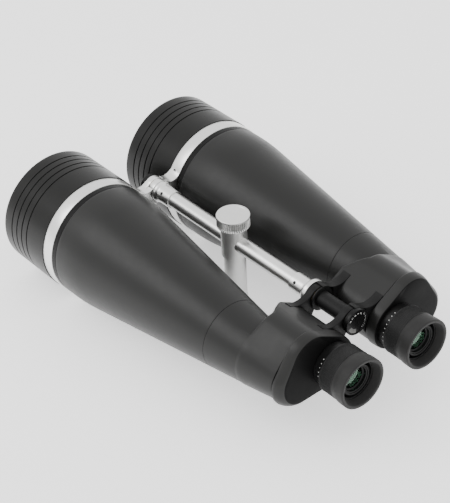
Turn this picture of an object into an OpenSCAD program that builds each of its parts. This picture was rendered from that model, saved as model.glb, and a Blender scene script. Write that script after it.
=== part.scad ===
// Giant astronomy binoculars: two Porro-prism barrels hinged on a bright reinforcing rod,
// with a tripod post that slides along the rod.
//
// Frame: +Y forward to the objectives, +X to the user's right, +Z up, millimetres.
// The origin is the mouth of the tripod socket, in the middle of the post's foot.
//
// Most parts are drawn in the optical frame: X to the right, Y up from the objective axes,
// and Z the depth behind the front rims, so every length along a barrel is a depth.
// Barrel parts are drawn for the right barrel, and the left one is their mirror image.

/* [Objectives] */
// Clear aperture of each objective
aperture = 100; // [98:0.5:100]
// Outside diameter of the dew shields
shield_d = 115; // [114:0.5:116]
// Length of the dew shields
shield_len = 62.2; // [61:0.1:63]
// Distance between the two objective axes
objective_spacing = 143.8; // [143:0.1:145]

/* [Tubes] */
// Largest outside diameter of the objective tubes
tube_d = 112.2; // [111:0.2:113]
// Outside diameter of a tube where it joins the prism housing
tube_end_d = 67; // [66:0.2:68]
// Wall thickness of the tubes and the prism housings
wall = 2.5; // [2:0.1:3]

/* [Eyepieces] */
// Distance between the two eyepiece axes
eyepiece_spacing = 74.6; // [74:0.1:75]
// Height of the eyepiece axes above the objective axes
eyepiece_rise = 3.6; // [3:0.1:4]
// Outside diameter of the knurled focus rings
focus_ring_d = 46.6; // [46:0.2:47]
// Outside diameter of the eyecups at their rims
eyecup_d = 48; // [47.4:0.2:48.4]

/* [Centre hinge] */
// Height of the hinge axis above the objective axes
hinge_rise = 21.1; // [20.8:0.1:21.4]
// Diameter of the reinforcing rod
rod_d = 15.2; // [15:0.1:15.4]

/* [Tripod post] */
// Distance from the front rims back to the post
post_depth = 183.7; // [180:0.1:200]
// Diameter of the upper part of the post
post_d = 24.2; // [23.6:0.1:24.6]
// Diameter of the clamp knob
knob_d = 31; // [29:0.5:31]
// Number of flutes around the clamp knob
knob_flutes = 48; // [30:1:60]
// Diameter of the tripod socket, as drilled for a 1/4 inch thread
socket_d = 5.2; // [5:0.1:5.3]

/* [Hidden] */
$fn = 72;

// Fits and small gaps
running_gap = 0.05;   // radial clearance of a shaft that turns or slides in a bore
swing_gap = 0.4;      // clearance between a turning hub and the arm beside it
washer_gap = 0.05;    // play on each side of a thrust washer
seat_gap = 0.04;      // radial play of a part that sits or screws in another
cut = 1;              // how far a cutter runs past the solid it cuts

// Places that follow from the driving dimensions
shield_r = shield_d / 2;
axis_z = shield_r;                        // objective axes stand as high as the shields' radius
lens_x = objective_spacing / 2;
eye_x = eyepiece_spacing / 2;
rod_r = rod_d / 2;
hinge_z = axis_z + hinge_rise;

// Depths along the barrel
ring_back = shield_len + 13.3;            // back of the bright front ring
lock_back = ring_back + 5.5;              // back of the lock ring
shoulder_start = 90;                      // where the tube begins to narrow
shoulder_len = 28;                        // length of the curve that leads into the cone
tube_back = 266;                          // joint between tube and prism housing
box_front = 287;                          // front wall of the prism box beside the hinge
shoulder_front = 302;                     // front wall of the prism box on its outer side
cover_front = 342.2;                      // joint between prism housing and back cover
cover_turn = 346.5;                       // where the cover begins to round inwards
cover_bend = 351.2;                       // middle of the cover's rounding
cover_back = 353.5;                       // flat rear face of the back cover
cup_front = 377.5;                        // front edge of the eyecup
cup_seat = 383.4;                         // where the eyecup ends inside, on the focus ring
cup_back = 391.9;                         // rim of the eyecup

// Radii of the tubes and the front end
tube_r = tube_d / 2;
back_r = tube_end_d / 2;                  // back end of the tube, front end of the housing
neck_r = 54;                              // tube neck and lens cell, inside the shield and rings
ring_r = 56.9;                            // bright front ring, outside
cell_bore_r = aperture / 2 + 1;           // lens seat
cell_front = 44.2;                        // front edge of the lens cell
cell_back = 72;                           // back edge of the lens cell
shoulder_drop = 2;                        // how far the tube narrows over its shoulder
tube_slope = (tube_r - shoulder_drop - back_r) / (tube_back - shoulder_start - shoulder_len);

// Hinge hubs and arms
front_hub_r = 10.5;
rear_hub_r = 11.4;
front_pin_r = 5;
shaft_pin_r = 6;
shaft_r = 8;
sleeve_r = 9;
flange_r = 12.8;
dial_r = 12.6;
knuckle_split = 68.9;                     // left front knuckle ends here, the right one follows
left_arms = [[291.8, 298.8], [332.5, 339.6]];     // depth range of the left hinge arms
right_arms = [[291.8, 301.3], [332.5, 341.9]];    // depth range of the right hinge arms
hub_step = 0.5;                           // gap for the washer between two hubs
rod_back = 283;                           // back end of the rod, where the shaft begins
sleeve_back = 291.5;                      // flange of the rear sleeve, against the first hub
dial_front = 342.3;                       // front face of the dial

// Eyepiece radii
base_r = 20.5;
base_end = 364.5;
ring_front = 362;
slide_r = 12.5;
stem_r = 15;                              // threaded stem of the base, in the cover
eye_bore_r = 10.5;

// Prism box, its cover and the cover's flat rear face: three round corners each as
// [x, height, radius], anticlockwise seen from behind
box_corners = [[lens_x, -1, 18.5], [57, 17, 22], [eye_x, eyepiece_rise, 24]];
cover_corners = [[lens_x + 0.6, -2, 23], [58.5, 17.5, 23.5], [eye_x, eyepiece_rise, 25]];
plate_corners = [[67.5, 0, 20], [57, 17, 22], [eye_x, eyepiece_rise, 24]];

// Optical axes in the prism box
lens_axis = [lens_x, 0];
middle_axis = [54.6, 19.2];
eye_axis = [eye_x, eyepiece_rise];
shelf_front = 324.5;
shelf_back = 327.5;
prism_w = 20;
ridge_flat = 4.5;                         // half the width ground off a prism's ridge
light_hole_r = 8;                         // openings of the shelf under the prisms

// ---------- helpers ----------

function arc(x, y, r, from, to, steps = 10) =
    [for (i = [0 : steps]) let (a = from + (to - from) * i / steps) [x + r * cos(a), y + r * sin(a)]];

function after(a, b) = b < a ? b + 360 : b;

// Direction of the outer tangent's normal between two round corners
function normal_angle(p, q) =
    atan2(q[1] - p[1], q[0] - p[0]) - acos((p[2] - q[2]) / norm([q[0] - p[0], q[1] - p[1]]));

function corner_arc(c, grow, from, to) = arc(c[0], c[1], c[2] + grow, from, to, 9);

// Outline around three round corners, drawn larger by grow
function rounded_outline(c, grow = 0) =
    let (n0 = normal_angle(c[2], c[0]),
         n1 = after(n0, normal_angle(c[0], c[1])),
         n2 = after(n1, normal_angle(c[1], c[2])))
    concat(corner_arc(c[0], grow, n0, n1), corner_arc(c[1], grow, n1, n2),
           corner_arc(c[2], grow, n2, n0 + 360));

function blend(a, b, t) = [for (i = [0 : len(a) - 1]) a[i] * (1 - t) + b[i] * t];

function sag(radius, r) = radius - sqrt(radius * radius - r * r);

// Points of a spherical lens face from the axis out to radius r
function lens_face(vertex, radius, r, steps = 6) =
    [for (i = [0 : steps]) let (q = r * i / steps) [q, vertex + sign(radius) * sag(abs(radius), q)]];

function reversed(list) = [for (i = [len(list) - 1 : -1 : 0]) list[i]];

// Tube outside: straight, a curved shoulder, then a long cone
shoulder = atan(tube_slope);
shoulder_r = shoulder_len / sin(shoulder);
function tube_outer() =
    concat([[tube_r, lock_back]],
           [for (i = [0 : 5]) let (a = shoulder * i / 5)
               [tube_r - shoulder_r * (1 - cos(a)), shoulder_start + shoulder_r * sin(a)]],
           [[back_r, tube_back]]);

// Housing cone radius at a depth, in line with the tube
function cone_r(depth) = back_r - tube_slope * (depth - tube_back);

// ---------- placing ----------

// Optical frame: X right, Y up, Z depth behind the front rims
module optical() translate([0, post_depth, axis_z]) rotate([90, 0, 0]) children();

module at_lens() optical() translate([lens_x, 0, 0]) children();

module at_eye() optical() translate([eye_x, eyepiece_rise, 0]) children();

module at_hinge() optical() translate([0, hinge_rise, 0]) children();

module left() mirror([1, 0, 0]) children();

// Solid of an outline between two depths
module slab(points, from, to) translate([0, 0, from]) linear_extrude(to - from) polygon(points);

// Solid round bar between two depths
module bar(r, from, to) translate([0, 0, from]) cylinder(r = r, h = to - from);

module ring(outer, inner, from, to) difference() {
    bar(outer, from, to);
    bar(inner, from - cut, to + cut);
}

// ---------- centre assembly ----------

module rod() color("silver") at_hinge() {
    bar(front_pin_r, shield_len + 0.4, ring_back + 1);
    bar(rod_r, ring_back + 0.8, rod_back);
}

cap_front = 56;
cap_r = 9.7;

module front_cap() color("#1b1b1b") at_hinge() difference() {
    union() {
        bar(cap_r, cap_front + 1.2, shield_len);
        bar(cap_r - 1, cap_front, cap_front + 1.3);
    }
    bar(3, shield_len - 3, shield_len + cut);
}

set_screw_angle = 141;
set_screw_r = 1.6;

module radial_hole(angle, r, from, to, depth)
    rotate([0, 0, angle]) translate([from, 0, depth]) rotate([0, 90, 0]) cylinder(r = r, h = to - from);

front_screw_depth = 86.5;
rear_screw_depth = 273.5;
front_sleeve_back = 97;
rear_sleeve_front = 267;

module front_sleeve() color("silver") at_hinge() difference() {
    union() {
        bar(sleeve_r, ring_back + 1.2, front_sleeve_back);
        bar(front_hub_r, ring_back + 0.9, ring_back + 3.5);
    }
    bar(rod_r + seat_gap, ring_back, front_sleeve_back + cut);
    radial_hole(set_screw_angle, set_screw_r, rod_r - cut, sleeve_r + cut, front_screw_depth);
}

module rear_sleeve() color("silver") at_hinge() difference() {
    rotate_extrude()
        polygon([[rod_r + seat_gap, rear_sleeve_front], [sleeve_r - 0.3, rear_sleeve_front],
                 [sleeve_r, rear_sleeve_front + 0.4], [sleeve_r, sleeve_back - 8],
                 [flange_r - 3, sleeve_back - 6.2], [flange_r - 1.5, sleeve_back - 5],
                 [flange_r, sleeve_back - 4], [flange_r, sleeve_back],
                 [shaft_pin_r + seat_gap, sleeve_back], [shaft_pin_r + seat_gap, rod_back],
                 [rod_r + seat_gap, rod_back]]);
    radial_hole(set_screw_angle, set_screw_r, rod_r - cut, sleeve_r + cut, rear_screw_depth);
}

module hinge_shaft() color("#2a2a2a") at_hinge() {
    bar(shaft_pin_r, rod_back, dial_front + 1.5);
    bar(shaft_r, right_arms[0][1] + 0.3, left_arms[1][0] - 0.3);
}

module thrust_washers() color("#b08d3c") at_hinge() {
    ring(front_hub_r - 0.8, front_pin_r, knuckle_split + washer_gap, knuckle_split + hub_step - washer_gap);
    ring(rear_hub_r - 0.8, shaft_pin_r, left_arms[0][1] + washer_gap,
         left_arms[0][1] + hub_step - washer_gap);
    ring(rear_hub_r - 0.8, shaft_pin_r, left_arms[1][1] + washer_gap,
         left_arms[1][1] + hub_step - washer_gap);
}

dial_back = 345.6;

module ipd_dial() color("#202020") at_hinge() difference() {
    rotate_extrude()
        polygon([[0, dial_front], [dial_r - 0.6, dial_front], [dial_r, dial_front + 0.6],
                 [dial_r, dial_back - 0.8], [dial_r - 0.8, dial_back], [dial_r - 1.6, dial_back],
                 [dial_r - 1.6, dial_back - 0.6], [0, dial_back - 0.6]]);
    bar(shaft_pin_r + seat_gap, dial_front - cut, dial_front + 1.5);
}

module sleeve_set_screws() color("#303030") at_hinge() {
    for (depth = [front_screw_depth, rear_screw_depth])
        radial_hole(set_screw_angle, set_screw_r - seat_gap, rod_r + 0.1, sleeve_r - 0.5, depth);
}

// ---------- tripod post and clamp ----------

post_top = axis_z + 38.3;
knob_bottom = axis_z + 38.6;
knob_top = axis_z + 50;
post_step = axis_z + 6;
post_r = post_d / 2;
screw_r = 4;
insert_r = 5;
insert_len = 14;
foot_r = 13;
foot_h = 6;
leg_r = 10.2;
pad_top = hinge_z + rod_r + 1.6;
screw_grip = 7;       // length of the clamp screw inside the knob

module along_rod(r, length)
    translate([0, length / 2, hinge_z]) rotate([90, 0, 0]) cylinder(r = r, h = length);

module tripod_post() color("silver") difference() {
    rotate_extrude()
        polygon([[0, 0], [foot_r - 0.6, 0], [foot_r, 0.6], [foot_r, foot_h - 0.6],
                 [foot_r - 0.6, foot_h], [leg_r + 1.4, foot_h + 0.6], [leg_r, foot_h + 14],
                 [leg_r, post_step - 1.2], [post_r - 0.6, post_step], [post_r, post_step + 0.6],
                 [post_r, post_top - 0.6], [post_r - 0.6, post_top], [0, post_top]]);
    along_rod(rod_r + running_gap, 2 * post_d);
    translate([0, 0, hinge_z]) cylinder(r = screw_r + running_gap, h = 40);
    translate([0, 0, -cut]) cylinder(r = insert_r, h = insert_len + cut);
}

module thread_insert() color("#b0b0b0") difference() {
    cylinder(r = insert_r - seat_gap, h = insert_len);
    translate([0, 0, -cut]) cylinder(r = socket_d / 2, h = insert_len + 2 * cut);
}

pad_skirt = 4;        // the pad's lower edge above the hinge axis

module pressure_pad() color("ivory") difference() {
    translate([0, 0, hinge_z + pad_skirt]) cylinder(r = screw_r - 0.4, h = pad_top - hinge_z - pad_skirt);
    along_rod(rod_r + running_gap, post_d);
}

module clamp_screw() color("#909090")
    translate([0, 0, pad_top]) cylinder(r = screw_r, h = knob_bottom + screw_grip - pad_top);

knob_r = knob_d / 2;
flute_depth = 0.6;
// Radius of the fluted side at each quarter of a flute
function flute_r(i) = i % 4 < 2 ? knob_r - 0.1 : knob_r - flute_depth;

module clamp_knob() color("#d8d8d8") difference() {
    union() {
        translate([0, 0, knob_bottom]) rotate_extrude()
            polygon([[0, 0], [knob_r - 0.7, 0], [knob_r, 0.7], [knob_r, 1.6], [knob_r - 0.7, 1.9],
                     [0, 1.9]]);
        translate([0, 0, knob_bottom + 1.5])
            linear_extrude(knob_top - knob_bottom - 3.1)
                polygon([for (i = [0 : 4 * knob_flutes - 1]) let (a = 90 * i / knob_flutes)
                             [flute_r(i) * cos(a), flute_r(i) * sin(a)]]);
        translate([0, 0, knob_top - 1.9]) rotate_extrude()
            polygon([[0, 0], [knob_r - 0.7, 0], [knob_r, 0.3], [knob_r, 1.2], [knob_r - 0.7, 1.9],
                     [0, 1.9]]);
    }
    translate([0, 0, knob_bottom - cut]) cylinder(r = screw_r + seat_gap, h = screw_grip + cut);
}

// ---------- front end of a barrel ----------

groove_pitch = 7.93;
groove_depths = [for (i = [0 : 3]) 12.2 + i * groove_pitch];
groove_w = 1.3;
groove_cut = 0.9;     // how deep the grooves are
baffle_len = 43;      // length of the shield's slightly wider mouth
mouth_r = neck_r + 0.9;

module dew_shield() color("#181818") at_lens() difference() {
    rotate_extrude()
        polygon(concat(
            [[mouth_r, 0], [shield_r - 0.8, 0], [shield_r, 0.8]],
            [for (d = groove_depths)
                each [[shield_r, d - groove_w / 2], [shield_r - groove_cut, d - groove_w / 2],
                      [shield_r - groove_cut, d + groove_w / 2], [shield_r, d + groove_w / 2]]],
            [[shield_r, shield_len - 0.5], [shield_r - 0.5, shield_len], [neck_r + seat_gap, shield_len],
             [neck_r + seat_gap, baffle_len + 1], [mouth_r, baffle_len]]));
}

lens_edge_r = cell_bore_r - seat_gap;
seat_front = 64.8;    // shoulder of the cell that the flint rests on
stop_r = aperture / 2 - 0.5;
crown_vertex = 43;
flint_vertex = 60;
flint_back = 66;
cement = 0.05;

module lens_cell() color("#222222") at_lens() rotate_extrude()
    polygon([[cell_bore_r, cell_front], [neck_r, cell_front], [neck_r, cell_back], [stop_r + 1, cell_back],
             [stop_r, cell_back - 2], [stop_r, seat_front], [cell_bore_r, seat_front]]);

module lens_ring() color("#222222") at_lens() rotate_extrude()
    polygon([[aperture / 2, cell_front + 0.4], [lens_edge_r, cell_front + 0.4],
             [lens_edge_r, cell_front + 4], [aperture / 2, cell_front + 4]]);

module crown_lens() color("#4a6a8a", 0.5) at_lens() rotate_extrude()
    polygon(concat(lens_face(crown_vertex, 240, lens_edge_r),
                   reversed(lens_face(flint_vertex, -180, lens_edge_r))));

module flint_lens() color("#6a8aa0", 0.5) at_lens() rotate_extrude()
    polygon(concat(lens_face(flint_vertex + cement, -180, lens_edge_r),
                   reversed(lens_face(flint_back, -900, lens_edge_r))));

// Arm from a hinge hub to the barrel: a hollow curve on top that touches a circle of hub_r
// about the hinge, and a straight lower edge. fillet is the centre of the hollow curve.
function arm_outline(hub_r, fillet, curve_end, far) =
    let (to_hub = [-fillet[0], hinge_rise - fillet[1]],
         r = norm(to_hub) - hub_r,
         start = atan2(to_hub[1], to_hub[0]))
    concat([[0, hinge_rise], [6.4, 12.2], [9.6, 6.4]], far,
           reversed(arc(fillet[0], fillet[1], r, start, curve_end, 8)));

// Lip that carries the arm over the hinge in a spiral
function lip(from, to, start_r, end_r) =
    [for (t = [0.2 : 0.2 : 1])
        let (a = from * (1 - t) + to * t, r = start_r * (1 - t) + end_r * t)
        [r * cos(a), hinge_rise + r * sin(a)]];

ring_arm = arm_outline(front_hub_r, [14.5, 36.7], -35, [[17, -4], [30, -4], [34, 33]]);
arm_root = [[14, -1], [30, -1], [38, 24], [34.7, 28.4], [33.8, 29.9]];
left_housing_arm = concat(arm_outline(12.25, [21.3, 45.9], -58, arm_root),
                          lip(49.3, 100, 12.25, rear_hub_r));
right_housing_arm = concat(arm_outline(12.75, [21.5, 46.2], -58, arm_root),
                           lip(49.4, 82, 12.75, 12.4));

ring_screw_angle = 148.6;
ring_screw_depth = 68.2;

module front_ring(knuckle) color("silver") optical() difference() {
    union() {
        translate([lens_x, 0, 0]) bar(ring_r, shield_len, ring_back);
        difference() {
            slab(ring_arm, shield_len, ring_back);
            translate([0, hinge_rise, 0]) bar(front_hub_r + swing_gap, shield_len - cut, ring_back + cut);
        }
        intersection() {
            slab(ring_arm, knuckle[0], knuckle[1]);
            translate([0, hinge_rise, 0]) bar(front_hub_r + 4, knuckle[0], knuckle[1]);
        }
        translate([0, hinge_rise, 0]) bar(front_hub_r, knuckle[0], knuckle[1]);
    }
    translate([lens_x, 0, 0]) bar(neck_r + seat_gap, shield_len - cut, ring_back + cut);
    translate([0, hinge_rise, 0]) bar(front_pin_r + running_gap, shield_len - cut, ring_back + cut);
    translate([lens_x, 0, 0])
        radial_hole(ring_screw_angle, set_screw_r, neck_r - cut, ring_r + 8, ring_screw_depth);
}

module ring_screw() color("#303030") at_lens()
    radial_hole(ring_screw_angle, set_screw_r - seat_gap, neck_r + 0.1, ring_r - 0.4, ring_screw_depth);

module lock_ring() color("#1c1c1c") at_lens() rotate_extrude()
    polygon([[neck_r + seat_gap, ring_back], [tube_r - 0.3, ring_back], [tube_r, ring_back + 0.4],
             [tube_r, lock_back - 0.6], [tube_r - 0.5, lock_back], [neck_r + seat_gap, lock_back]]);

module objective_tube() color("#3a3a3a") at_lens() rotate_extrude()
    polygon(concat(
        [[neck_r - wall, cell_back], [neck_r, cell_back], [neck_r, lock_back]],
        tube_outer(),
        reversed([for (p = tube_outer()) [p[0] - wall, p[1]]]),
        [[neck_r - wall, lock_back - 1]]));

// ---------- prism box ----------

box_wall = 3;
spigot_len = 7;       // the housing's step that enters the tube
slant = [36, 56];     // where the slanted part of the box's front wall begins and ends
box_reach = 60;       // half the height of a block that holds the whole box

// Block of the prism box. Seen from above, its front wall slants back on the outer side.
module box_space(points, setback) intersection() {
    slab(points, box_front + setback, cover_front + setback);
    translate([0, box_reach, setback]) rotate([90, 0, 0]) linear_extrude(2 * box_reach)
        polygon([[0, box_front], [slant[0], box_front], [slant[1], shoulder_front],
                 [2 * lens_x, shoulder_front], [2 * lens_x, cover_front], [0, cover_front]]);
}

module prism_housing() color("#3a3a3a") optical() difference() {
    union() {
        translate([lens_x, 0, 0]) rotate_extrude()
            polygon([[0, tube_back - spigot_len], [back_r - wall - seat_gap, tube_back - spigot_len],
                     [back_r - wall - seat_gap, tube_back], [back_r, tube_back],
                     [cone_r(cover_front), cover_front], [0, cover_front]]);
        box_space(rounded_outline(box_corners), 0);
    }
    translate([lens_x, 0, 0]) rotate_extrude()
        polygon([[0, tube_back - spigot_len - cut], [back_r - 2 * wall, tube_back - spigot_len - cut],
                 [back_r - 2 * wall, tube_back + 8], [16, cover_front - 8], [0, cover_front - 8]]);
    box_space(rounded_outline(box_corners, -box_wall), box_wall);
}

module hinge_arm(outline, strap, hub) color("#1f1f1f") optical() difference() {
    union() {
        difference() {
            slab(outline, strap[0], strap[1]);
            translate([0, hinge_rise, 0]) bar(rear_hub_r + swing_gap, strap[0] - cut, strap[1] + cut);
        }
        intersection() {
            slab(outline, hub[0], hub[1]);
            translate([0, hinge_rise, 0]) bar(rear_hub_r + 4, hub[0], hub[1]);
        }
        translate([0, hinge_rise, 0]) bar(rear_hub_r, hub[0], hub[1]);
    }
    translate([0, hinge_rise, 0]) bar(arm_bore_r, strap[0] - cut, hub[1] + cut);
    slab(rounded_outline(box_corners), box_front, cover_front + cut);
}

module prism_shelf() color("#8a8a8a") optical() difference() {
    slab(rounded_outline(box_corners, -box_wall), shelf_front, shelf_back);
    for (axis = [lens_axis, middle_axis, eye_axis])
        translate([axis[0], axis[1], 0]) bar(light_hole_r, shelf_front - cut, shelf_back + cut);
}

// Right-angle prism that folds light from one axis to the next. Its long face is at the
// given depth, and its blunt ridge points along facing (1 rearward, -1 forward).
module fold_prism(p, q, depth, facing) {
    shift = norm(q - p);
    translate([(p[0] + q[0]) / 2, (p[1] + q[1]) / 2, depth])
        rotate([0, 0, atan2(q[1] - p[1], q[0] - p[0])])
            intersection() {
                rotate([90, 0, 0]) linear_extrude(prism_w, center = true)
                    polygon([[-shift, 0], [shift, 0], [ridge_flat, facing * (shift - ridge_flat)],
                             [-ridge_flat, facing * (shift - ridge_flat)]]);
                translate([0, 0, -2 * shift]) linear_extrude(4 * shift)
                    polygon(concat(arc(shift / 2, 0, prism_w / 2, -90, 90),
                                   arc(-shift / 2, 0, prism_w / 2, 90, 270)));
            }
}

// Bent strip that holds a prism down on the shelf
module prism_clip(p, q, depth, facing) {
    shift = norm(q - p);
    strip_w = 6;
    strip_t = 0.6;
    height = shift - ridge_flat;
    low = facing > 0 ? depth : depth - height - strip_t;
    translate([(p[0] + q[0]) / 2, (p[1] + q[1]) / 2, 0])
        rotate([0, 0, atan2(q[1] - p[1], q[0] - p[0])])
            difference() {
                translate([-strip_w / 2, -prism_w / 2 - strip_t, low])
                    cube([strip_w, prism_w + 2 * strip_t, height + strip_t]);
                translate([-strip_w, -prism_w / 2, facing > 0 ? low - cut : low + strip_t])
                    cube([2 * strip_w, prism_w, height + cut]);
            }
}

module front_prism() color("#9fc4d8", 0.5) optical() fold_prism(middle_axis, eye_axis, shelf_front, -1);

module rear_prism() color("#9fc4d8", 0.5) optical() fold_prism(lens_axis, middle_axis, shelf_back, 1);

module prism_clips() color("#a8a8a8") optical() {
    prism_clip(middle_axis, eye_axis, shelf_front, -1);
    prism_clip(lens_axis, middle_axis, shelf_back, 1);
}

bend_corners = blend(cover_corners, plate_corners, 0.35);

module back_cover() color("#333333") optical() difference() {
    union() {
        slab(rounded_outline(cover_corners), cover_front, cover_turn + 0.1);
        hull() {
            slab(rounded_outline(cover_corners), cover_turn, cover_turn + 0.1);
            slab(rounded_outline(bend_corners), cover_bend, cover_bend + 0.1);
        }
        hull() {
            slab(rounded_outline(bend_corners), cover_bend, cover_bend + 0.1);
            slab(rounded_outline(plate_corners), cover_back - 0.1, cover_back);
        }
    }
    slab(rounded_outline(box_corners, -box_wall), cover_front - cut, cover_back - 3);
    translate([eye_x, eyepiece_rise, 0]) bar(stem_r + seat_gap, cover_back - 4, cover_back + cut);
}

// ---------- eyepiece ----------

module eyepiece_base() color("#1e1e1e") at_eye() rotate_extrude()
    polygon([[slide_r + running_gap, cover_back - 4.5], [stem_r, cover_back - 4.5],
             [stem_r, cover_back], [base_r - 0.4, cover_back],
             [base_r, cover_back + 0.4], [base_r, base_end - 0.4], [base_r - 0.4, base_end],
             [slide_r + running_gap, base_end]]);

slide_front = 348;    // front end of the sliding eyepiece tube
head_front = 373.5;   // front of the wider head that holds the eye lens
head_back = 384;
head_r = 15;
eye_vertex = 380.6;   // rearmost point of the eye lens
small_lens_r = eye_bore_r - seat_gap;

module eyepiece_tube() color("#2b2b2b") at_eye() rotate_extrude()
    polygon([[eye_bore_r, slide_front], [slide_r, slide_front], [slide_r, head_front],
             [head_r, head_front], [head_r, head_back], [head_r - 2, head_back],
             [eye_bore_r, eye_vertex]]);

module field_lens() color("#7fb0a0", 0.5) at_eye() rotate_extrude()
    polygon(concat(lens_face(slide_front + 2, 40, small_lens_r),
                   reversed(lens_face(slide_front + 7, -60, small_lens_r))));

module eye_lens() color("#7fb0a0", 0.5) at_eye() rotate_extrude()
    polygon(concat(lens_face(eye_vertex - 5.6, 30, small_lens_r),
                   reversed(lens_face(eye_vertex, -40, small_lens_r))));

focus_r = focus_ring_d / 2;
cup_seat_r = 21;      // where the eyecup fits on the focus ring
nose_r = 17.5;        // inside of the focus ring behind its web
web_front = 369.4;    // web of the focus ring that turns on the tube
web_back = 373.2;

module focus_ring() color("#202020") at_eye() rotate_extrude()
    polygon([[base_r + 0.5, ring_front], [focus_r - 0.5, ring_front], [focus_r, ring_front + 0.5],
             [focus_r, cup_front - 0.4], [focus_r - 0.3, cup_front - 0.1], [cup_seat_r, cup_front - 0.1],
             [cup_seat_r, cup_seat], [nose_r, cup_seat], [nose_r, web_back],
             [slide_r + running_gap, web_back], [slide_r + running_gap, web_front],
             [base_r + 0.5, web_front]]);

cup_r = eyecup_d / 2;
cup_lip = 3;          // thickness of the eyecup's rolled rim

module eyecup() color("#151515") at_eye() rotate_extrude()
    polygon([[cup_seat_r + seat_gap, cup_front], [cup_r - 0.9, cup_front], [cup_r - 0.8, cup_front + 2],
             [cup_r - 0.2, cup_seat - 1.4], [cup_r, cup_seat + 0.1], [cup_r, cup_back - 1.6],
             [cup_r - 0.3, cup_back - 0.6], [cup_r - 0.9, cup_back], [cup_r - cup_lip + 0.6, cup_back],
             [cup_r - cup_lip - 0.2, cup_back - 0.6], [cup_r - cup_lip - 1.4, cup_back - 4],
             [nose_r + 0.8, cup_seat + 1], [nose_r + 0.8, cup_seat + 0.1],
             [cup_seat_r + seat_gap, cup_seat + 0.1]]);

// ---------- named sub-parts ----------

left_knuckle = [shield_len + 0.3, knuckle_split];
right_knuckle = [knuckle_split + hub_step, ring_back + 0.3];
right_hubs = [for (i = [0, 1]) [left_arms[i][1] + hub_step, right_arms[i][1]]];
arm_bore_r = shaft_pin_r + running_gap;

module left_dew_shield() left() dew_shield();
module left_lens_cell() left() lens_cell();
module left_lens_ring() left() lens_ring();
module left_crown_lens() left() crown_lens();
module left_flint_lens() left() flint_lens();
module left_front_ring() left() front_ring(left_knuckle);
module left_ring_screw() left() ring_screw();
module left_lock_ring() left() lock_ring();
module left_objective_tube() left() objective_tube();
module left_prism_housing() left() prism_housing();
module left_front_arm() left() hinge_arm(left_housing_arm, left_arms[0], left_arms[0]);
module left_rear_arm() left() hinge_arm(left_housing_arm, left_arms[1], left_arms[1]);
module left_prism_shelf() left() prism_shelf();
module left_front_prism() left() front_prism();
module left_rear_prism() left() rear_prism();
module left_prism_clips() left() prism_clips();
module left_back_cover() left() back_cover();
module left_eyepiece_base() left() eyepiece_base();
module left_eyepiece_tube() left() eyepiece_tube();
module left_field_lens() left() field_lens();
module left_eye_lens() left() eye_lens();
module left_focus_ring() left() focus_ring();
module left_eyecup() left() eyecup();

module right_dew_shield() dew_shield();
module right_lens_cell() lens_cell();
module right_lens_ring() lens_ring();
module right_crown_lens() crown_lens();
module right_flint_lens() flint_lens();
module right_front_ring() front_ring(right_knuckle);
module right_ring_screw() ring_screw();
module right_lock_ring() lock_ring();
module right_objective_tube() objective_tube();
module right_prism_housing() prism_housing();
module right_front_arm() hinge_arm(right_housing_arm, right_arms[0], right_hubs[0]);
module right_rear_arm() hinge_arm(right_housing_arm, right_arms[1], right_hubs[1]);
module right_prism_shelf() prism_shelf();
module right_front_prism() front_prism();
module right_rear_prism() rear_prism();
module right_prism_clips() prism_clips();
module right_back_cover() back_cover();
module right_eyepiece_base() eyepiece_base();
module right_eyepiece_tube() eyepiece_tube();
module right_field_lens() field_lens();
module right_eye_lens() eye_lens();
module right_focus_ring() focus_ring();
module right_eyecup() eyecup();

rod();
front_cap();
front_sleeve();
rear_sleeve();
hinge_shaft();
thrust_washers();
ipd_dial();
sleeve_set_screws();
tripod_post();
thread_insert();
pressure_pad();
clamp_screw();
clamp_knob();
left_dew_shield();
left_lens_cell();
left_lens_ring();
left_crown_lens();
left_flint_lens();
left_front_ring();
left_ring_screw();
left_lock_ring();
left_objective_tube();
left_prism_housing();
left_front_arm();
left_rear_arm();
left_prism_shelf();
left_front_prism();
left_rear_prism();
left_prism_clips();
left_back_cover();
left_eyepiece_base();
left_eyepiece_tube();
left_field_lens();
left_eye_lens();
left_focus_ring();
left_eyecup();
right_dew_shield();
right_lens_cell();
right_lens_ring();
right_crown_lens();
right_flint_lens();
right_front_ring();
right_ring_screw();
right_lock_ring();
right_objective_tube();
right_prism_housing();
right_front_arm();
right_rear_arm();
right_prism_shelf();
right_front_prism();
right_rear_prism();
right_prism_clips();
right_back_cover();
right_eyepiece_base();
right_eyepiece_tube();
right_field_lens();
right_eye_lens();
right_focus_ring();
right_eyecup();
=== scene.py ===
"""Looks of the giant astronomy binoculars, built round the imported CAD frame.

Row frame: +Y forward to the objectives, +X to the user's right, +Z up, metres.
Sizes below are in millimetres. Most places are given as (x, up, depth): x from the middle,
up from the objective axes, and depth behind the front rims of the dew shields.
"""
from math import acos, atan2, copysign, cos, degrees, dist, pi, radians, sin, sqrt

import bmesh
import bpy
from mathutils import Matrix, Vector
from mathutils.geometry import tessellate_polygon

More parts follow.
